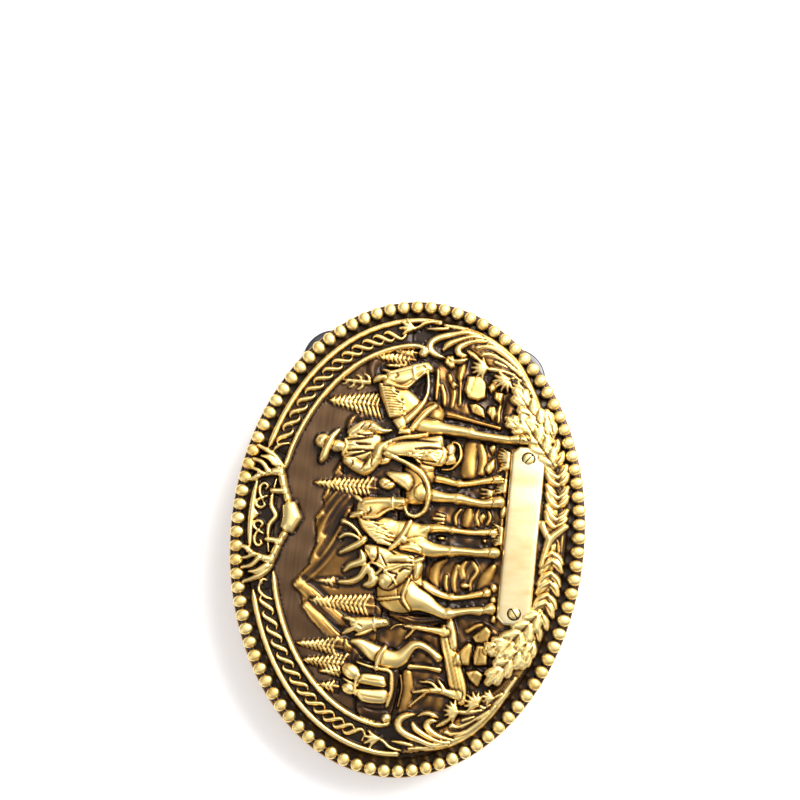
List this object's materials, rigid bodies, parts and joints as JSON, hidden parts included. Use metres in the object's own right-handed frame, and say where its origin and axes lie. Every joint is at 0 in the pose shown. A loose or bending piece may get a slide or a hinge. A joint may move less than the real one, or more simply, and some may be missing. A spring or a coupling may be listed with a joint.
{
  "type": "belt buckle",
  "caption": "Oval western belt buckle: a bowed plate with a beaded edge and applied relief, a fixed hook and a hinged strap loop on its back.",
  "frame": {"origin": "centre of the oval, on the surface that the buckle's back rests on", "axes": "+X along the oval to the end with the bail, +Y to the top of the scene, +Z out of the face"},
  "size_m": [0.0866, 0.0638, 0.0141],
  "materials": {
    "antique_brass": "antiqued: satin highlights over near-black brown recesses",
    "bright_brass": "polished satin",
    "plain_brass": "satin, lightly aged",
    "gunmetal": "dark gunmetal satin"
  },
  "bodies": {
    "root": {"base_plate": "antique_brass", "bead_border": "bright_brass", "landscape_medallion": "antique_brass", "rope_band_left": "antique_brass", "rope_band_right": "antique_brass", "rider_and_horse": "antique_brass", "pack_horse": "antique_brass", "pack_mule": "antique_brass", "antler_crest": "antique_brass", "scroll_left": "antique_brass", "scroll_right": "antique_brass", "oak_spray_left": "antique_brass", "oak_spray_right": "antique_brass", "nameplate": "bright_brass", "nameplate_screw_left": "bright_brass", "nameplate_screw_right": "bright_brass", "hook_base": "plain_brass", "hook": "plain_brass", "bail_lug_upper": "plain_brass", "bail_lug_lower": "plain_brass"},
    "bail": {"bail": "gunmetal"}
  },
  "joints": [
    {"name": "bail_hinge", "type": "hinge", "parent": "root", "child": "bail", "pos_m": [0.022, 0, 0.0026], "axis": [0, 1, 0], "range_deg": [-12, 190]}
  ]
}
